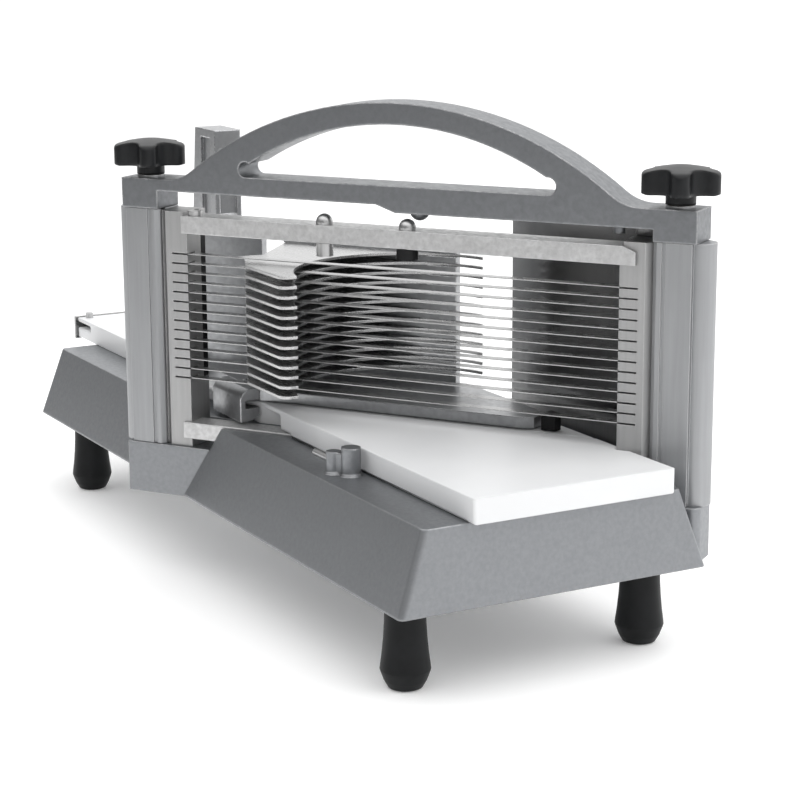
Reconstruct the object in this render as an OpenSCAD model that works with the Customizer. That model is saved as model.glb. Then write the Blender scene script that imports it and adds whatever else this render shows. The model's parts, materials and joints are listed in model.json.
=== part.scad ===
// Push-type tomato slicer with a slanted fixed blade cartridge.
// Millimetres. +X runs along the track towards the discharge end, +Z is up.
// The floor under the feet is z = 0.

/* [Base] */
// length of the tray at its top edge
tray_l = 503; // [480:1:520]
// width of the tray at its top edge
tray_w = 152; // [150:1:156]
// outward flare of each long side, top to bottom
side_flare = 15; // [8:0.5:18]
// outward flare of each end
end_flare = 3.6; // [2:0.2:6]
// height of the tray's top edge over the floor
deck_z = 89.7; // [88:0.1:90]
// height of the skirt's lower edge
skirt_z = 46.8; // [44:0.2:50]
// wall thickness of the casting
wall_t = 4; // [3:0.5:5]

/* [Blade frame] */
// angle of the blade frame to the track
frame_a = 35; // [34.5:0.1:35.5]
// frame centre along the track
frame_x = 99.2; // [98:0.1:101]
// frame centre across the track
frame_y = -6.8; // [-7.5:0.1:-6]
// half distance between the two tie rods
rod_half = 160; // [159:0.5:161]
// tie rod diameter
rod_d = 8; // [6:0.5:9]
// arch outer radius
arch_r = 206.7; // [205:0.1:208]
// top of the arch
arch_top = 280; // [279:0.5:281]

/* [Blades] */
// number of blades
blade_n = 14; // [14:1:14]
// distance between two blades
pitch = 5.556; // [5.5:0.001:5.6]
// height of the lowest blade
blade_z0 = 117.04; // [116.8:0.01:117.2]
// blade thickness
blade_t = 0.5; // [0.4:0.05:0.6]
// pusher fin thickness
fin_t = 1.6; // [1.4:0.1:2]

/* [Boards] */
// top surface of both slide boards
board_z = 103.1; // [102.8:0.1:103.2]
// near edge of the boards
board_y0 = -51; // [-51.2:0.1:-50.5]
// far edge of the boards
board_y1 = 68.4; // [67:0.1:69]

/* [Feet and knobs] */
// foot diameter at the bulb
foot_d = 26; // [24:0.5:28]
// knob lobe circle radius
knob_r = 16.1; // [15:0.1:17]

/* [Hidden] */
$fn = 48;
// x of the tray's end
hl = tray_l / 2;
// y of the tray's top edge
hw = tray_w / 2;
// y of the front of the blade frame
fy0 = -6.4;
// y of the back of the blade frame
fy1 = 16;
// arch circle centre
arch_c = arch_top - arch_r;
// fillet between the arch and its shoulder, tangent to both
fil_r = 26;
fil_x = sqrt(pow(arch_r + fil_r, 2) - pow(231.5 + fil_r - arch_c, 2));
fil_a = atan2(231.5 + fil_r - arch_c, fil_x);
// foot positions along the track
foot_x1 = 223.6;
foot_x2 = -214.3;
foot_y = 71;

// shift that puts the origin under the middle of the bounding box
org_x = 16.65;
org_y = 3.107;

module place() { translate([org_x, org_y, 0]) children(); }

module onframe() {
  translate([frame_x, frame_y, 0]) rotate([0, 0, frame_a]) children();
}

function arc(x, y, r, a0, a1) =
  [for (i = [0 : 8]) let (a = a0 + (a1 - a0) * i / 8) [x + r * cos(a), y + r * sin(a)]];

module box(x0, x1, y0, y1, z0, z1) {
  translate([x0, y0, z0]) cube([x1 - x0, y1 - y0, z1 - z0]);
}

module round_frustum(top_x, top_y, bot_x, bot_y, z0, z1, r) {
  hull() for (sx = [-1, 1], sy = [-1, 1]) {
    translate([sx * (top_x - r), sy * (top_y - r), z1 - 0.01])
      cylinder(r = r, h = 0.01, $fn = 32);
    translate([sx * (bot_x - r), sy * (bot_y - r), z0])
      cylinder(r = r, h = 0.01, $fn = 32);
  }
}

module frustum(top_x, top_y, bot_x, bot_y, z0, z1) {
  hull() {
    translate([-top_x, -top_y, z1 - 0.01]) cube([2 * top_x, 2 * top_y, 0.01]);
    translate([-bot_x, -bot_y, z0]) cube([2 * bot_x, 2 * bot_y, 0.01]);
  }
}

// Hollow flared tray, a deck with light wells, the cross block for the frame,
// foot bosses and the stop lug, all one casting.
module base_casting() { place() {
  color("silver") difference() {
    union() {
      difference() {
        round_frustum(hl, hw, hl + end_flare, hw + side_flare, skirt_z, deck_z, 3.5);
        frustum(hl - wall_t, hw - wall_t, hl + end_flare - wall_t,
          hw + side_flare - wall_t, skirt_z - 1, deck_z - 5);
      }
      onframe() {
        box(-173.8, 172.5, -7.3, fy1, skirt_z - 0.6, 76);
        box(172, 177.5, -2.3, fy1 - 5, skirt_z - 0.6, 76);
        for (y = [-2.3, fy1 - 5]) translate([172.5, y, skirt_z - 0.6])
          cylinder(r = 5, h = 76 - skirt_z + 0.6);
      }
      for (x = [foot_x1, foot_x2], y = [-foot_y, foot_y])
        translate([x, y, 46]) cylinder(d = 18, h = 27);
      // stop lug beside the front board: two lobes joined by a web
      translate([134.5, -64.8, deck_z - 1]) cylinder(r = 4, h = 13.2);
      translate([143, -58.8, deck_z - 1]) cylinder(r = 5.2, h = 16.3);
      translate([134.5, -64.8, deck_z - 1]) rotate([0, 0, 35.2])
        translate([0, -2.6, 0]) cube([10.4, 5.2, 12.8]);
      translate([134.5, -64.8, deck_z - 1]) cylinder(r = 4.9, h = 2.2);
      translate([143, -58.8, deck_z - 1]) cylinder(r = 5.9, h = 2.2);
    }
    // wells under the two boards
    box(-205, -25, -40, 58, deck_z - 6, deck_z + 1);
    box(185, 225, -40, 50, deck_z - 6, deck_z + 1);
    // slot for the cartridge
    onframe() box(-149.2, 149.2, -7.9, 15.8, 76, deck_z + 2);
    // seats for the uprights
    onframe() box(148.7, 200, -7.4, fy1 + 0.3, 76, deck_z + 20);
    onframe() box(-200, -148.7, -7.4, fy1 + 0.3, 76, deck_z + 20);
    // tie rod holes
    onframe() for (x = [-rod_half, rod_half])
      {
        translate([x, 4.8, 40]) cylinder(d = rod_d + 0.1, h = 60);
        translate([x, 4.8, 40]) cylinder(d = 15, h = 14);
      }
    // foot screw holes
    for (x = [foot_x1, foot_x2], y = [-foot_y, foot_y])
      translate([x, y, 40]) cylinder(d = 6.1, h = 30);
    // stop screw hole
    translate([128, -64.6, 96.6]) rotate([0, 90, 0]) cylinder(d = 4.1, h = 8);
  }
}}

module foot(x, y) {
  color("black") translate([x, y, 0]) difference() {
    rotate_extrude() polygon([[0, 0], [7, 0], [8.9, 0.8], [11, 4.5],
      [12.6, 8.8], [foot_d / 2, 10.2], [12.8, 12], [12, 18], [11.2, 26],
      [10.7, 34], [10.5, 42], [11, 43.5], [11, 46], [0, 46]]);
    translate([0, 0, 4]) cylinder(d = 6.1, h = 50);
    translate([0, 0, -1]) cylinder(d = 12, h = 9);
  }
}
module foot_front_near() { place() foot(foot_x1, -foot_y); }
module foot_front_far() { place() foot(foot_x1, foot_y); }
module foot_rear_near() { place() foot(foot_x2, -foot_y); }
module foot_rear_far() { place() foot(foot_x2, foot_y); }

module foot_screws() { place() {
  color("gray") for (x = [foot_x1, foot_x2], y = [-foot_y, foot_y])
    translate([x, y, 0]) {
      translate([0, 0, 4.2]) cylinder(d = 11, h = 3.8);
      translate([0, 0, 7]) cylinder(d = 6, h = 61);
    }
}}

// region on the discharge side of a line behind the blades
module ahead(y) { onframe() box(-400, 400, -400, y, 80, 120); }

module front_board() { place() {
  color("white") difference() {
    intersection() {
      box(0, 257, board_y0, board_y1, deck_z, board_z);
      ahead(12.4);
    }
    onframe() box(-160, 160, -10, 14, deck_z - 1, 91.5);
    onframe() box(130.6, 200, -5.4, fy1 + 1, 80, 120);
    onframe() box(-200, -130.6, -10, fy1 + 1, 80, 120);
    // corner cut back below the top lip
    box(-100, 40, -52, -40, 80, 99.8);
  }
}}

module rear_board() { place() {
  color("white") difference() {
    union() {
      box(-286, 200, board_y0, board_y1, deck_z, board_z);
      box(-165, 100, -60.4, board_y0 + 0.1, 100.1, board_z);
    }
    ahead(12.8);
    // open corner at the loading end
    box(-290, -262, -52, -30, 96.4, 100.1);
    onframe() box(120, 200, -10, fy1 + 12, 80, 120);
  }
}}

module rear_end_stop() { place() {
  color("silver") difference() {
    box(-288.5, -286, -52.5, 69, 88.4, 103.6);
    for (y = [-40, 60]) translate([-290, y, 96]) rotate([0, 90, 0])
      cylinder(d = 4.2, h = 6);
  }
}}

module rear_pegs() { place() {
  color("gray") for (y = [-40, 60]) {
    translate([-290.3, y, 96]) rotate([0, 90, 0]) cylinder(d = 8, h = 1.8);
    translate([-289, y, 96]) rotate([0, 90, 0]) cylinder(d = 4.1, h = 3);
    translate([-281, y - 4, board_z]) cylinder(d = 5, h = 3.6);
  }
}}

// Extruded upright: flat face, rounded outer column, groove for the cartridge.
module upright_left() { place() { color("silver") onframe() difference() {
    union() {
      box(-170.5, -149, fy0, fy1, 76, 214.2);
      translate([-171.2, 5, 76]) cylinder(r = 8.6, h = 138.2);
    }
    box(-152.6, -148, -2.7, 1.6, 70, 220);
    box(-156.4, -154.2, fy0 - 1, fy0 + 1, 70, 220);
    translate([-149, fy0, 70]) rotate([0, 0, 45]) translate([-1.8, -1.8, 0])
      cube([3.6, 3.6, 150]);
    translate([-rod_half, 4.8, 60]) cylinder(d = rod_d + 0.1, h = 170);
  }
}}
module upright_right() { place() { color("silver") onframe() difference() {
    union() {
      box(149, 170.5, fy0, fy1, 76, 214.2);
      translate([171.2, 5, 76]) cylinder(r = 8.6, h = 138.2);
    }
    box(148, 152.6, -2.7, 1.6, 70, 220);
    box(154.2, 156.4, fy0 - 1, fy0 + 1, 70, 220);
    translate([149, fy0, 70]) rotate([0, 0, 45]) translate([-1.8, -1.8, 0])
      cube([3.6, 3.6, 150]);
    translate([rod_half, 4.8, 60]) cylinder(d = rod_d + 0.1, h = 170);
    // guard screw holes
    for (z = [120, 190]) translate([163.2, fy1 + 1, z]) rotate([90, 0, 0])
      cylinder(d = 3.1, h = 5.5);
  }
}}

module tie_rod(x) {
  color("gray") onframe() {
    translate([x, 4.8, 48.8]) cylinder(d = 13, h = 5.2);
    translate([x, 4.8, 50]) cylinder(d = rod_d, h = 196);
  }
}
module tie_rod_left() { place() tie_rod(-rod_half); }
module tie_rod_right() { place() tie_rod(rod_half); }

// Carrying handle: end blocks, arch and lower rail, one casting.
module arch_handle() { place() {
  color("silver") onframe() difference() {
    union() {
      box(-172.8, -149.2, fy0, fy1, 214.4, 231.5);
      box(149.2, 172.8, fy0, fy1, 214.4, 231.5);
      box(-149.3, 149.3, fy0, fy1, 224.8, 231.5);
      // deeper right half of the rail, with a slanted step
      translate([0, fy1, 0]) rotate([90, 0, 0]) linear_extrude(height = fy1 - fy0)
        polygon([[-10, 225], [2.2, 220.8], [149.3, 220.8], [149.3, 225]]);
      // domed boss over the cartridge
      intersection() {
        translate([12.2, 4, 221.5]) sphere(d = 11);
        box(5, 30, fy0, fy1, 214, 222);
      }
      translate([127.5, 3.6, 216.4]) cylinder(d = 6, h = 5);
      intersection() {
        translate([0, fy1, arch_c]) rotate([90, 0, 0])
          cylinder(r = arch_r, h = fy1 - fy0, $fn = 180);
        box(-150, 150, fy0 - 1, fy1 + 1, 228, 300);
      }
      // fillets where the arch meets its shoulders
      for (sx = [-1, 1]) translate([sx * fil_x, fy1, 231.5 + fil_r])
        rotate([90, 0, 0]) difference() {
          linear_extrude(height = fy1 - fy0) polygon([[0, -fil_r],
            [-sx * 14, -fil_r], [-sx * fil_r * cos(fil_a), -fil_r * sin(fil_a)]]);
          translate([0, 0, -1]) cylinder(r = fil_r, h = fy1 - fy0 + 2, $fn = 96);
        }
    }
    // hand opening
    intersection() {
      translate([2, fy1 + 1, 93.3]) rotate([90, 0, 0])
        cylinder(r = 175, h = fy1 - fy0 + 2, $fn = 180);
      box(-91, 91, fy0 - 2, fy1 + 2, 235.3, 275);
    }
    translate([-91, fy1 + 1, 239.6]) rotate([90, 0, 0])
      cylinder(r = 4.3, h = fy1 - fy0 + 2);
    translate([91, fy1 + 1, 239.9]) rotate([90, 0, 0])
      cylinder(r = 4.6, h = fy1 - fy0 + 2);
    for (x = [-rod_half, rod_half]) translate([x, 4.8, 200])
      cylinder(d = rod_d + 0.1, h = 50);
  }
}}

// rubber pad on the underside of the top bar
module centre_pad() { place() {
  color("black") onframe() translate([7.5, -2, 0]) difference() {
    translate([0, 0, 195.3]) cylinder(d = 12, h = 6.1);
    translate([0, 0, 190]) cylinder(d = 5.1, h = 20);
  }
}}

// outline of the top bar in elevation, grown by g
module bar_outline(g) {
  polygon([[-133.3 - g, 201.5 - g], [140.3 + g, 201.5 - g],
    [140.3 + g, 208.4 + g], [133 + g, 211.4 + g], [-133.3 - g, 211.4 + g]]);
}

module holder(s) {
  color("lightgray") onframe() difference() {
    union() {
      translate([0, 0, 76.1]) linear_extrude(height = 137.3) polygon([
        [s * 131, -5], [s * 145, -5], [s * 148.7, -1.3], [s * 148.7, 15.4],
        [s * 131, 15.4]]);
      box(s > 0 ? 148.6 : -151.9, s > 0 ? 151.9 : -148.6, -2.3, 1.2, 76.1, 213.4);
    }
    translate([0, 12, 0]) rotate([90, 0, 0]) linear_extrude(height = 24)
      bar_outline(0.1);
    box(s > 0 ? 120 : -133.4, s > 0 ? 133.1 : -120, -8, 9, 211.2, 220);
    for (k = [0 : blade_n - 1])
      box(s > 0 ? 129 : -141.2, s > 0 ? 141.2 : -129, -6, 4,
        blade_z0 + k * pitch - 0.55, blade_z0 + k * pitch + 0.55);
    translate([s * 137.8, -0.85, 77]) cylinder(d = 1.9, h = 130);
    // recess for the side seal
    box(s > 0 ? 130.9 : -134, s > 0 ? 134 : -130.9, 9.8, 15.5, 114.9, 201.1);
    // bottom bar mortice
    box(s > 0 ? 129 : -135.7, s > 0 ? 135.7 : -129, -5.1, 8, 81.2, 91.1);
  }
}
module holder_left() { place() holder(-1); }
module holder_right() { place() holder(1); }

// dark strips that close the gap beside the fins
module side_seals() { place() {
  color("black") onframe() for (s = [-1, 1])
    box(s > 0 ? 131.2 : -133.9, s > 0 ? 133.9 : -131.2, 9.9, 15.3, 115, 201);
}}

module blades() { place() {
  color("gainsboro") onframe() for (k = [0 : blade_n - 1])
    translate([0, 0, blade_z0 + k * pitch - blade_t / 2]) difference() {
      union() {
        translate([-130.8, -4.4, 0]) cube([261.6, 5.9, blade_t]);
        translate([-141, -2.6, 0]) cube([282, 3.5, blade_t]);
      }
      for (x = [-137.8, 137.8]) translate([x, -0.85, -1]) cylinder(d = 1.9, h = 3);
    }
}}

module blade_pins() { place() {
  color("gray") onframe() for (x = [-137.8, 137.8])
    translate([x, -0.85, 96]) cylinder(d = 1.8, h = 104);
}}

module top_bar() { place() {
  color("silver") onframe() difference() {
    union() {
      translate([0, -5.1, 0]) rotate([90, 0, 0]) linear_extrude(height = 2.3)
        bar_outline(0);
      intersection() {
        translate([0, 9, 0]) rotate([90, 0, 0]) linear_extrude(height = 14.2)
          bar_outline(0);
        box(-133.3, 140.3, -5.2, 9, 190, 220);
      }
    }
    for (x = [-43.4, 7.5]) translate([x, -2, 195]) cylinder(d = 5.1, h = 30);
    translate([-126.8, -2, 202.6]) cylinder(d = 3.1, h = 10);
  }
}}

module bottom_bar() { place() {
  color("silver") onframe() box(-135.5, 135.5, -7.2, 7.6, 81.4, 91);
}}

// dome nuts on top of the bar, their studs, the nut below and an end screw
module cartridge_screws() { place() {
  color("gainsboro") onframe() {
    for (x = [-43.4, 7.5]) translate([x, -2, 0]) {
      translate([0, 0, 211.4]) cylinder(d = 9.4, h = 1.5);
      intersection() {
        translate([0, 0, 212.8]) sphere(d = 9.4);
        translate([-5, -5, 212.7]) cube([10, 10, 5]);
      }
      translate([0, 0, x < 0 ? 193.9 : 195.4]) cylinder(d = 5, h = 17.6);
      if (x < 0) translate([0, 0, 193.9]) cylinder(d = 9.4, h = 7.5);
    }
    translate([-126.8, -2, 211.4]) cylinder(d = 8, h = 2.8);
    translate([-126.8, -2, 203]) cylinder(d = 3, h = 9);
  }
}}

// Tall side guard, bent to lie on the back of the right upright.
module guard_panel() { place() {
  color("silver") difference() {
    union() {
      box(75.4, 198.6, 82, 84, deck_z - 1.7, 222);
      onframe() box(131.6, 171, fy1 + 0.2, fy1 + 2.2, deck_z - 1.7, 222);
    }
    onframe() for (z = [120, 190]) translate([163.2, fy1 + 4, z])
      rotate([90, 0, 0]) cylinder(d = 3.2, h = 8);
  }
}}

module guard_screws() { place() {
  color("gainsboro") onframe() for (z = [120, 190]) {
    translate([163.2, fy1 + 4.4, z]) rotate([90, 0, 0]) cylinder(d = 6.5, h = 2.2);
    translate([163.2, fy1 + 3, z]) rotate([90, 0, 0]) cylinder(d = 3, h = 7);
  }
}}

// set screw in the lug that ends the forward stroke
module stop_screw() { place() {
  color("gray") translate([113, -64.6, 96.6]) rotate([0, 90, 0])
    cylinder(d = 4, h = 21.5);
}}

// Five-lobed star knob with a domed top and rounded rims; a turns it.
module knob(x, a) {
  rr = 7.55;
  color("black") onframe() translate([x, 4.8, 0]) difference() {
    union() {
      translate([0, 0, 233.2]) cylinder(d = 15.8, h = 8);
      intersection() {
        rotate([0, 0, a]) difference() {
          union() {
            translate([0, 0, 236]) cylinder(r = 17.2, h = 20);
            for (i = [0 : 4]) rotate([0, 0, i * 72])
              translate([knob_r, 0, 236]) cylinder(r = 4.9, h = 20);
          }
          for (i = [0 : 4]) rotate([0, 0, i * 72 + 36])
            translate([21.1, 0, 235]) cylinder(r = rr, h = 22);
        }
        rotate_extrude($fn = 96) polygon([[0, 238.6], [19.6, 238.6],
          [20.5, 238.9], [21, 239.8], [21, 247.6], [20.8, 248.7],
          [20.2, 249.7], [19.2, 250.4], [17.8, 250.9], [13, 251.9],
          [7, 252.9], [3, 253.3], [0, 253.4]]);
      }
    }
    translate([0, 0, 232]) cylinder(d = 12.1, h = 16);
  }
}
module knob_left() { place() knob(-rod_half, 9.4); }
module knob_right() { place() knob(rod_half, 0); }

module insert(x) {
  color("gold") onframe() translate([x, 4.8, 0]) difference() {
    translate([0, 0, 233.2]) cylinder(d = 12, h = 14.6);
    translate([0, 0, 232]) cylinder(d = rod_d + 0.1, h = 18);
  }
}
module insert_left() { place() insert(-rod_half); }
module insert_right() { place() insert(rod_half); }

module washer(x) {
  color("gray") onframe() translate([x, 4.8, 231.5]) difference() {
    cylinder(d = 15.4, h = 1.3);
    translate([0, 0, -1]) cylinder(d = rod_d + 0.4, h = 4);
  }
}
module washer_left() { place() washer(-rod_half); }
module washer_right() { place() washer(rod_half); }

// Pusher casting: sole plate, wall parallel to the blades, handle post.
module pusher_body() { place() {
  color("silver") difference() {
    union() {
      translate([0, 0, 103.6]) linear_extrude(height = 6.4) polygon([
        [-105, -51.6], [15, -51.6], [22.9, -44.4], [148, 43.2], [152, 49],
        [148, 57], [138, 61], [60, 61], [-92, -36], [-105, -42]]);
      onframe() box(-165, -124, 68, 74, 103.6, 196);
      onframe() box(-125, -108, 68, 74, 103.6, 176);
      onframe() box(-109, 4, 68, 74, 103.6, 189.5);
      translate([0, -21, 0]) rotate([90, 0, 0]) linear_extrude(height = 17)
        polygon([[-118, 103.6], [-72, 103.6], [-72, 251], [-100.5, 251]]);
    }
    // flutes on the handle post
    box(-92.5, -78.5, -39, -36.2, 135, 246);
    box(-73.4, -71, -35, -24, 200, 240);
    // slots for the fins
    for (k = [0 : blade_n - 2]) onframe()
      box(-112, 6, 67, 70.6, blade_z0 + (k + 0.5) * pitch - fin_t / 2 - 0.02,
        blade_z0 + (k + 0.5) * pitch + fin_t / 2 + 0.02);
    // screw holes for the shoes, from inside the casting
    for (x = [-15, 6, -96, -84]) translate([x, -56, 107]) rotate([-90, 0, 0]) {
      cylinder(d = 3.1, h = 12);
      translate([0, 0, 7.4]) cylinder(d = 6.6, h = 6);
    }
  }
}}

module pusher_fins() { place() {
  color("gainsboro") for (k = [0 : blade_n - 2])
    translate([0, 0, blade_z0 + (k + 0.5) * pitch - fin_t / 2])
      difference() {
        linear_extrude(height = fin_t) polygon(concat([
          [-31.8, -9.8], [7, -44.2], [5, -55], [31, -66.5], [35, -68.4]],
          arc(75.6, -62, 6.4, -90, 0), [[82, -59.5], [90, -20], [90, 40],
          [82, 57], [78, 61], [60.5, 56.4]]));
        translate([94.5, 0.5, -1]) cylinder(r = 61, h = 5, $fn = 96);
        onframe() box(-200, 200, 70.5, 90, -1, 5);
      }
}}

// C-shaped guide that hooks under the rear board's side tongue.
module shoe(x0, x1) {
  color("gray") difference() {
    translate([x0, 0, 0]) rotate([90, 0, 90]) linear_extrude(height = x1 - x0)
      polygon([[-64, 92], [-57, 92.4], [-51.8, 95.4], [-51.8, 99.7],
        [-60.8, 99.7], [-60.8, 104.2], [-51.8, 104.2], [-51.8, 109],
        [-54, 111.2], [-59, 111.2], [-62, 109], [-64, 106]]);
    for (x = [x0 + 9, x1 - (x0 < -50 ? 14 : 9)]) translate([x, -59, 107])
      rotate([-90, 0, 0]) cylinder(d = 3.1, h = 20);
  }
}
module shoe_front() { place() shoe(-24, 15); }
module shoe_rear() { place() shoe(-105, -70); }

module slide_pad() { place() {
  color("black") translate([0, 0, 103.6]) linear_extrude(height = 9)
    polygon([[156, 51.2], [162.6, 55.8], [160.8, 60.8], [151.4, 60.8]]);
}}

module shoe_screws() { place() {
  color("gray") for (x = [-15, 6, -96, -84]) {
    translate([x, -48.5, 107]) rotate([-90, 0, 0]) cylinder(d = 6.4, h = 1.4);
    translate([x, -58.6, 107]) rotate([-90, 0, 0]) cylinder(d = 3, h = 10.5);
  }
}}

base_casting();
foot_front_near();
foot_front_far();
foot_rear_near();
foot_rear_far();
foot_screws();
front_board();
rear_board();
rear_end_stop();
rear_pegs();
upright_left();
upright_right();
tie_rod_left();
tie_rod_right();
arch_handle();
centre_pad();
holder_left();
holder_right();
side_seals();
blades();
blade_pins();
top_bar();
bottom_bar();
cartridge_screws();
guard_panel();
guard_screws();
stop_screw();
knob_left();
knob_right();
insert_left();
insert_right();
washer_left();
washer_right();
pusher_body();
pusher_fins();
shoe_front();
shoe_rear();
slide_pad();
shoe_screws();
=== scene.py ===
import json
import math

import bpy
import bmesh
from mathutils import Matrix, Vector

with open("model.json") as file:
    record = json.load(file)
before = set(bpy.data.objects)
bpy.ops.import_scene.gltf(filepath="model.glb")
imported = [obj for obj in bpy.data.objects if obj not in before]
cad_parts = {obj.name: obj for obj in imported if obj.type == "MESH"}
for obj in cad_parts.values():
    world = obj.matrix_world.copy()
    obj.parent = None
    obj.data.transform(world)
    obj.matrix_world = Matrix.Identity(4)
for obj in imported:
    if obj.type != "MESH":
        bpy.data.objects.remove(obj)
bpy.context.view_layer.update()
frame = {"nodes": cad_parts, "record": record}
N = frame["nodes"]

# ------------------------------------------------------------------ camera
# The same placing as the CAD: the blade frame's middle and its angle.
OX, OY = 0.01665, 0.003107
FA = math.radians(35.0)
FX, FY = 0.0992 + OX, -0.0068 + OY


def fr(x, y, z):
    """A point of the blade frame (mm) in the row frame (m)."""
    x, y, z = x / 1000, y / 1000, z / 1000
    return Vector((FX + x * math.cos(FA) - y * math.sin(FA),
                   FY + x * math.sin(FA) + y * math.cos(FA), z))


def rotz(a):
    return Matrix.Rotation(a, 3, "Z")


cam_data = bpy.data.cameras.new("cam")
cam_data.sensor_width = 36.0
cam_data.lens = 36.0 * 2157.85 / 800.0
cam = bpy.data.objects.new("cam", cam_data)
bpy.context.scene.collection.objects.link(cam)
ax, ay, az = 1.79746, -0.00546, -0.45989
AX = Matrix(((1, 0, 0), (0, math.cos(ax), -math.sin(ax)), (0, math.sin(ax), math.cos(ax))))
R = rotz(ay) @ AX @ rotz(az)
t = Vector((-0.000727, 0.112734, 1.220945))
C_fr = -(R.transposed() @ t)
F2R = rotz(FA)
c_row = F2R @ C_fr + Vector((FX, FY, 0))
Rw = F2R @ R.transposed()
ex, ey, ez = Rw.col[0], Rw.col[1], Rw.col[2]
m = Matrix.Identity(4)
for i in range(3):
    m[i][0] = ex[i]
    m[i][1] = -ey[i]
    m[i][2] = -ez[i]
    m[i][3] = c_row[i]
cam.matrix_world = m
cam_data.clip_start = 0.01
cam_data.clip_end = 50
bpy.context.scene.camera = cam


# ------------------------------------------------------------------ materials
class Mat:
    """Small helper that builds a node material."""

    def __init__(self, name, metallic=0.0, spec=0.5, coat=0.0, coat_rough=0.1, ior=1.5):
        self.m = bpy.data.materials.new(name)
        self.m.use_nodes = True
        self.t = self.m.node_tree
        self.t.nodes.clear()
        self.out = self.t.nodes.new("ShaderNodeOutputMaterial")
        self.b = self.t.nodes.new("ShaderNodeBsdfPrincipled")
        self.b.inputs["Metallic"].default_value = metallic
        self.b.inputs["IOR"].default_value = ior
        self.b.inputs["Specular IOR Level"].default_value = spec
        self.b.inputs["Coat Weight"].default_value = coat
        self.b.inputs["Coat Roughness"].default_value = coat_rough
        self.link(self.b.outputs[0], self.out.inputs[0])
        self.tc = self.t.nodes.new("ShaderNodeTexCoord")

    def link(self, a, b):
        self.t.links.new(a, b)

    def node(self, kind, **kw):
        n = self.t.nodes.new(kind)
        for k, v in kw.items():
            setattr(n, k, v)
        return n

    def scaled(self, s):
        mp = self.node("ShaderNodeMapping")
        mp.inputs["Scale"].default_value = s
        self.link(self.tc.outputs["Object"], mp.inputs["Vector"])
        return mp.outputs[0]

    def noise(self, scale, detail=4.0, rough=0.55, vec=None, dist=0.0):
        n = self.node("ShaderNodeTexNoise")
        n.inputs["Scale"].default_value = scale
        n.inputs["Detail"].default_value = detail
        n.inputs["Roughness"].default_value = rough
        n.inputs["Distortion"].default_value = dist
        self.link(vec or self.tc.outputs["Object"], n.inputs["Vector"])
        return n.outputs["Fac"]

    def voronoi(self, scale, vec=None, feature="F1", rand=1.0):
        n = self.node("ShaderNodeTexVoronoi", feature=feature)
        n.inputs["Scale"].default_value = scale
        n.inputs["Randomness"].default_value = rand
        self.link(vec or self.tc.outputs["Object"], n.inputs["Vector"])
        return n.outputs["Distance"]

    def ramp(self, fac, stops):
        n = self.node("ShaderNodeValToRGB")
        e = n.color_ramp.elements
        while len(e) < len(stops):
            e.new(0.5)
        for el, (p, c) in zip(e, stops):
            el.position = p
            el.color = (*c, 1) if isinstance(c, tuple) else (c, c, c, 1)
        self.link(fac, n.inputs[0])
        return n.outputs[0]

    def mapr(self, fac, a, b, c, d):
        n = self.node("ShaderNodeMapRange")
        for k, v in zip(("From Min", "From Max", "To Min", "To Max"), (a, b, c, d)):
            n.inputs[k].default_value = v
        self.link(fac, n.inputs["Value"])
        return n.outputs[0]

    def math(self, op, a, b):
        n = self.node("ShaderNodeMath", operation=op)
        for i, v in enumerate((a, b)):
            if isinstance(v, (int, float)):
                n.inputs[i].default_value = v
            else:
                self.link(v, n.inputs[i])
        return n.outputs[0]

    def mix(self, fac, a, b, mode="MIX"):
        n = self.node("ShaderNodeMix", data_type="RGBA", blend_type=mode)
        for i, v in ((0, fac), (6, a), (7, b)):
            if isinstance(v, (int, float)):
                n.inputs[i].default_value = v
            elif isinstance(v, tuple):
                n.inputs[i].default_value = (*v, 1)
            else:
                self.link(v, n.inputs[i])
        return n.outputs[2]

    def edge(self, radius, lo=0.03, hi=0.35):
        """0 on flats, 1 on edges: bevel normal against the true normal."""
        bv = self.node("ShaderNodeBevel", samples=6)
        bv.inputs["Radius"].default_value = radius
        g = self.node("ShaderNodeNewGeometry")
        d = self.node("ShaderNodeVectorMath", operation="DOT_PRODUCT")
        self.link(bv.outputs[0], d.inputs[0])
        self.link(g.outputs["Normal"], d.inputs[1])
        inv = self.math("SUBTRACT", 1.0, d.outputs["Value"])
        return self.mapr(inv, lo * 0.3, hi * 0.5, 0.0, 1.0)

    def bump(self, height, strength, distance, bevel=None, prev=None):
        n = self.node("ShaderNodeBump")
        n.inputs["Strength"].default_value = strength
        n.inputs["Distance"].default_value = distance
        self.link(height, n.inputs["Height"])
        if bevel:
            bv = self.node("ShaderNodeBevel", samples=6)
            bv.inputs["Radius"].default_value = bevel
            self.link(bv.outputs[0], n.inputs["Normal"])
        if prev:
            self.link(prev, n.inputs["Normal"])
        return n.outputs[0]

    def color(self, c):
        self.link(c, self.b.inputs["Base Color"])

    def rough(self, r):
        if isinstance(r, (int, float)):
            self.b.inputs["Roughness"].default_value = r
        else:
            self.link(r, self.b.inputs["Roughness"])

    def normal(self, n):
        self.link(n, self.b.inputs["Normal"])


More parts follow.
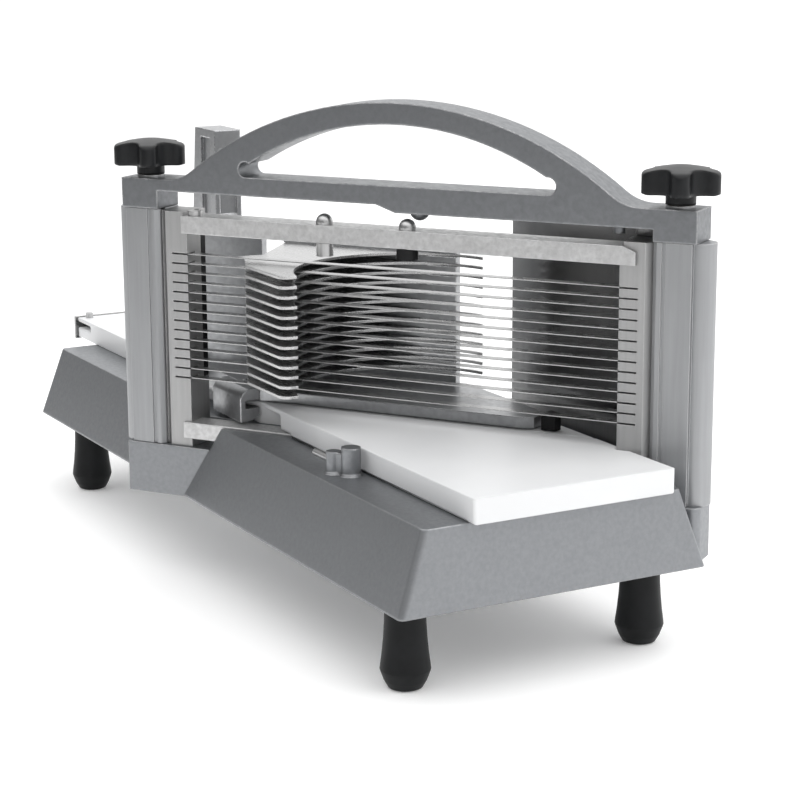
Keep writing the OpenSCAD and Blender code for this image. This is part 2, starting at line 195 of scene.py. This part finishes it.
def cast(name, lo, hi, rough=(0.42, 0.56), mott=420.0, edge_c=0.75, bev=0.0016, bump=0.22,
         metallic=0.85, tint=(1.0, 1.0, 1.0), cloud=0.12, edge_w=1.0, pit_w=0.3):
    """Tumbled cast aluminium: fine peened grain, a few pits and brighter edges, partly wear and partly a painted edge
    highlight.
    """
    a = Mat(name, metallic=metallic)
    lo = tuple(lo * k for k in tint)
    hi = tuple(hi * k for k in tint)
    mean = tuple(0.5 * (x + y) for x, y in zip(lo, hi))
    big = a.noise(26.0, 3.0, 0.6)
    mid = a.noise(mott, 3.0, 0.55, dist=0.2)
    soft = a.noise(150.0, 2.0, 0.5)
    fine = a.noise(1500.0, 2.0, 0.55)
    pits = a.voronoi(330.0)
    col = a.ramp(mid, [(0.32, lo), (0.5, mean), (0.68, hi)])
    col = a.mix(a.mapr(big, 0.3, 0.7, 0.0, cloud), col, tuple(v * 0.8 for v in lo))
    col = a.mix(a.mapr(pits, 0.0, 0.09, pit_w, 0.0), col, tuple(v * 0.6 for v in lo))
    # edge mask, broken up by noise: lightens the edges towards edge_c, partly wear and partly a painted highlight
    # along the edges
    e = a.edge(bev)
    e = a.math("MULTIPLY", e, a.mapr(a.noise(260.0, 3.0), 0.35, 0.62, 0.3, 1.0))
    col = a.mix(a.math("MULTIPLY", e, edge_w), col, (edge_c, edge_c, edge_c * 1.01))
    a.color(col)
    r = a.mapr(mid, 0.3, 0.7, rough[1], rough[0])
    r = a.math("SUBTRACT", r, a.math("MULTIPLY", e, 0.12))
    a.rough(r)
    h = a.math("ADD", a.math("MULTIPLY", soft, 0.9), a.math("MULTIPLY", fine, 0.12))
    h = a.math("ADD", h, a.math("MULTIPLY", a.mapr(pits, 0.0, 0.15, -0.5, 0.0), 0.3))
    a.normal(a.bump(h, bump, 0.0009, bevel=bev))
    return a.m


def brushed(name, lo, hi, axis, rough=(0.28, 0.42), edge_c=0.85, bev=0.0006, bump=0.05,
            metallic=0.9, rot=0.0, stretch=60.0, tint=(1.0, 1.0, 1.0), edge_w=0.6, blot=0.18):
    """Drawn or ground metal with fine lines along one axis."""
    a = Mat(name, metallic=metallic)
    lo = tuple(lo * k for k in tint)
    hi = tuple(hi * k for k in tint)
    mp = a.node("ShaderNodeMapping")
    mp.inputs["Rotation"].default_value = (0, 0, rot)
    a.link(a.tc.outputs["Object"], mp.inputs["Vector"])
    mp2 = a.node("ShaderNodeMapping")
    s = [stretch, stretch, stretch]
    s[axis] = 1.0
    mp2.inputs["Scale"].default_value = s
    a.link(mp.outputs[0], mp2.inputs["Vector"])
    lines = a.noise(16.0, 4.0, 0.6, vec=mp2.outputs[0])
    cloud = a.noise(60.0, 3.0, 0.55)
    col = a.ramp(lines, [(0.3, lo), (0.7, hi)])
    col = a.mix(a.mapr(cloud, 0.35, 0.68, 0.0, blot), col, tuple(v * 0.85 for v in lo))
    # painted highlight: the edges are lightened towards edge_c
    e = a.edge(bev)
    col = a.mix(a.math("MULTIPLY", e, edge_w), col, (edge_c, edge_c, edge_c))
    a.color(col)
    a.rough(a.mapr(a.math("ADD", a.math("MULTIPLY", lines, 0.5), a.math("MULTIPLY", cloud, 0.5)), 0.3, 0.7, rough[1], rough[0]))
    a.normal(a.bump(lines, bump, 0.0003, bevel=bev))
    return a.m


def board(name):
    """White polyethylene with faint knife marks and a soft machined grain."""
    a = Mat(name, spec=0.45, coat=0.0)
    a.b.inputs["Subsurface Weight"].default_value = 0.12
    a.b.inputs["Subsurface Radius"].default_value = (0.004, 0.004, 0.004)
    a.b.inputs["Subsurface Scale"].default_value = 0.5
    cloud = a.noise(14.0, 4.0, 0.6)
    col = a.ramp(cloud, [(0.3, (0.76, 0.767, 0.775)), (0.7, (0.80, 0.805, 0.81))])
    mp = a.scaled((1.0, 40.0, 4.0))
    marks = a.noise(26.0, 5.0, 0.75, vec=mp)
    scr = a.mapr(marks, 0.66, 0.74, 0.0, 0.5)
    col = a.mix(a.math("MULTIPLY", scr, 0.35), col, (0.66, 0.67, 0.67))
    spots = a.mapr(a.voronoi(90.0), 0.0, 0.05, 0.25, 0.0)
    col = a.mix(spots, col, (0.7, 0.69, 0.66))
    a.color(col)
    a.rough(a.mapr(cloud, 0.3, 0.7, 0.34, 0.46))
    fine = a.noise(1500.0, 2.0, 0.5)
    h = a.math("SUBTRACT", a.math("MULTIPLY", fine, 0.25), a.math("MULTIPLY", scr, 0.5))
    a.normal(a.bump(h, 0.12, 0.0004, bevel=0.0012))
    return a.m


def rubber(name, c=(0.012, 0.012, 0.013), rough=(0.42, 0.62), bev=0.001, bump=0.2, spec=0.4, dust=0.06):
    a = Mat(name, spec=spec)
    cloud = a.noise(60.0, 4.0, 0.6)
    fine = a.noise(1400.0, 3.0, 0.6)
    col = a.ramp(cloud, [(0.35, c), (0.7, tuple(v * 1.9 + 0.003 for v in c))])
    e = a.edge(bev)
    col = a.mix(a.math("MULTIPLY", e, 0.55), col, (dust, dust, dust * 1.02))
    a.color(col)
    a.rough(a.mapr(cloud, 0.3, 0.7, rough[0], rough[1]))
    a.normal(a.bump(fine, bump, 0.00025, bevel=bev))
    return a.m


BL = (0.985, 1.0, 1.025)
CB = (0.97, 1.0, 1.045)
M = {
    "cast_base": cast("cast_base", 0.266, 0.288, tint=CB, rough=(0.38, 0.48), bev=0.0016, bump=0.1,
                      edge_c=0.5, cloud=0.08, edge_w=0.6, pit_w=0.12),
    "cast_arch": cast("cast_arch", 0.215, 0.25, tint=CB, rough=(0.36, 0.48), mott=300.0, bump=0.18, bev=0.0016,
                      edge_c=0.55, pit_w=0.2),
    "cast_pusher": cast("cast_pusher", 0.345, 0.405, tint=BL, rough=(0.28, 0.40), mott=300.0, bump=0.12, bev=0.0012,
                        pit_w=0.15),
    "bar": cast("bar", 0.54, 0.68, mott=330.0, rough=(0.34, 0.5), bev=0.0008, cloud=0.3, bump=0.3),
    "extrusion": brushed("extrusion", 0.365, 0.40, 2, rough=(0.40, 0.5), tint=BL, stretch=25.0),
    "holder": brushed("holder", 0.42, 0.47, 2, rough=(0.42, 0.52), bev=0.0005, stretch=25.0),
    "plate": brushed("plate", 0.24, 0.28, 2, rough=(0.14, 0.2), bump=0.02, metallic=1.0, edge_w=0.3),
    "fin": brushed("fin", 0.50, 0.57, 0, rough=(0.22, 0.34), metallic=0.9, bev=0.0004, blot=0.06),
    "blade": brushed("blade", 0.42, 0.50, 0, rough=(0.2, 0.34), rot=-FA, bev=0.0002, metallic=0.95),
    "hardware": brushed("hardware", 0.50, 0.58, 2, rough=(0.3, 0.4), bev=0.0004, metallic=1.0),
    "brass": brushed("brass", 0.6, 0.7, 2, rough=(0.24, 0.36), bev=0.0004, tint=(1.0, 0.76, 0.36)),
    "foot": rubber("foot", c=(0.004, 0.0045, 0.005), rough=(0.42, 0.54), spec=0.22, dust=0.02, bump=0.05),
    "pad": rubber("pad", c=(0.006, 0.006, 0.0065), rough=(0.42, 0.55), spec=0.25, dust=0.02),
    "knob": rubber("knob", c=(0.0045, 0.005, 0.0058), rough=(0.34, 0.44), spec=0.32, bev=0.0024, bump=0.05, dust=0.02),
    "board": board("board"),
}
SLOT = {s["node"]: s["material_slot"] for s in frame["record"]["subparts"]}
for name, ob in N.items():
    ob.data.materials.clear()
    ob.data.materials.append(M[SLOT[name]])


# ------------------------------------------------------------------ rounded edges
def soften(name, width, segments=2, angle=35.0):
    """Real rounding of the sharp edges: the split corners are joined, then cut back."""
    ob = N[name]
    w = ob.modifiers.new("join", "WELD")
    w.merge_threshold = 2e-6
    b = ob.modifiers.new("round", "BEVEL")
    b.width = width
    b.segments = segments
    b.limit_method = "ANGLE"
    b.angle_limit = math.radians(angle)
    b.use_clamp_overlap = True
    b.miter_outer = "MITER_ARC"
    n = ob.modifiers.new("flat", "WEIGHTED_NORMAL")
    n.mode = "FACE_AREA"
    n.weight = 100
    n.keep_sharp = False


for name, width, segs in (("front_board", 0.0016, 3), ("rear_board", 0.0014, 3), ("arch_handle", 0.0012, 2),
                          ("base_casting", 0.0014, 2), ("pusher_body", 0.0010, 2), ("top_bar", 0.0005, 2),
                          ("bottom_bar", 0.0005, 2), ("shoe_front", 0.0007, 2), ("shoe_rear", 0.0007, 2),
                          ("knob_left", 0.0012, 3), ("knob_right", 0.0012, 3), ("upright_left", 0.0004, 2),
                          ("upright_right", 0.0004, 2), ("guard_panel", 0.0004, 2)):
    soften(name, width, segs)


# ------------------------------------------------------------------ stage
def plane(name, sx, sy, loc, mat):
    me = bpy.data.meshes.new(name)
    me.from_pydata([(-sx, -sy, 0), (sx, -sy, 0), (sx, sy, 0), (-sx, sy, 0)], [], [(0, 1, 2, 3)])
    ob = bpy.data.objects.new(name, me)
    ob.location = loc
    bpy.context.scene.collection.objects.link(ob)
    me.materials.append(mat)
    return ob


fm = bpy.data.materials.new("floor")
fm.use_nodes = True
fb = fm.node_tree.nodes["Principled BSDF"]
fb.inputs["Base Color"].default_value = (0.93, 0.93, 0.93, 1)
fb.inputs["Roughness"].default_value = 0.7
fb.inputs["Specular IOR Level"].default_value = 0.1
fb.inputs["Emission Color"].default_value = (1, 1, 1, 1)
fb.inputs["Emission Strength"].default_value = 0.15
plane("floor", 1.5, 1.5, (-0.1, 0.25, 0), fm)

world = bpy.data.worlds.new("world")
bpy.context.scene.world = world
world.use_nodes = True
wt = world.node_tree
wt.nodes.clear()
# A soft studio dome: bright above and to the right, dim low on the left.
wo = wt.nodes.new("ShaderNodeOutputWorld")
bg = wt.nodes.new("ShaderNodeBackground")
bg.inputs[0].default_value = (1, 1, 1, 1)
tcw = wt.nodes.new("ShaderNodeTexCoord")


def wmath(op, a, b=None, c=None):
    n = wt.nodes.new("ShaderNodeMath")
    n.operation = op
    for i, v in enumerate((a, b, c)):
        if v is None:
            continue
        if isinstance(v, (int, float)):
            n.inputs[i].default_value = v
        else:
            wt.links.new(v, n.inputs[i])
    return n.outputs[0]


def wramp(v, a, b, c, d):
    n = wt.nodes.new("ShaderNodeMapRange")
    n.interpolation_type = "SMOOTHSTEP"
    for k, x in zip(("From Min", "From Max", "To Min", "To Max"), (a, b, c, d)):
        n.inputs[k].default_value = x
    wt.links.new(v, n.inputs["Value"])
    return n.outputs[0]


sep = wt.nodes.new("ShaderNodeSeparateXYZ")
wt.links.new(tcw.outputs["Generated"], sep.inputs[0])
dot = wmath("ADD", wmath("MULTIPLY", sep.outputs[0], 0.25), wmath("MULTIPLY", sep.outputs[1], 0.97))
side = wramp(dot, -0.60, 0.12, 0.16, 1.12)
plusx = wramp(sep.outputs[0], 0.1, 0.9, 1.0, 0.62)
side = wmath("MULTIPLY", side, plusx)
up = wramp(sep.outputs[2], 0.25, 0.8, 0.0, 1.0)
inv = wmath("SUBTRACT", 1.0, up)
val = wmath("ADD", wmath("MULTIPLY", side, inv), wmath("MULTIPLY", up, 1.68))
wt.links.new(val, bg.inputs[1])
wt.links.new(bg.outputs[0], wo.inputs[0])


def area(name, loc, target, sx, sy, power, color=(1, 1, 1)):
    d = bpy.data.lights.new(name, "AREA")
    d.shape = "RECTANGLE"
    d.size, d.size_y = sx, sy
    d.energy = power
    d.color = color
    o = bpy.data.objects.new(name, d)
    o.location = loc
    o.rotation_euler = (Vector(target) - Vector(loc)).to_track_quat("-Z", "Y").to_euler()
    bpy.context.scene.collection.objects.link(o)
    return o


area("right", (1.5, 0.9, 1.5), (0.1, 0, 0.12), 0.9, 0.9, 5.5)

bpy.context.scene.view_settings.view_transform = "Standard"
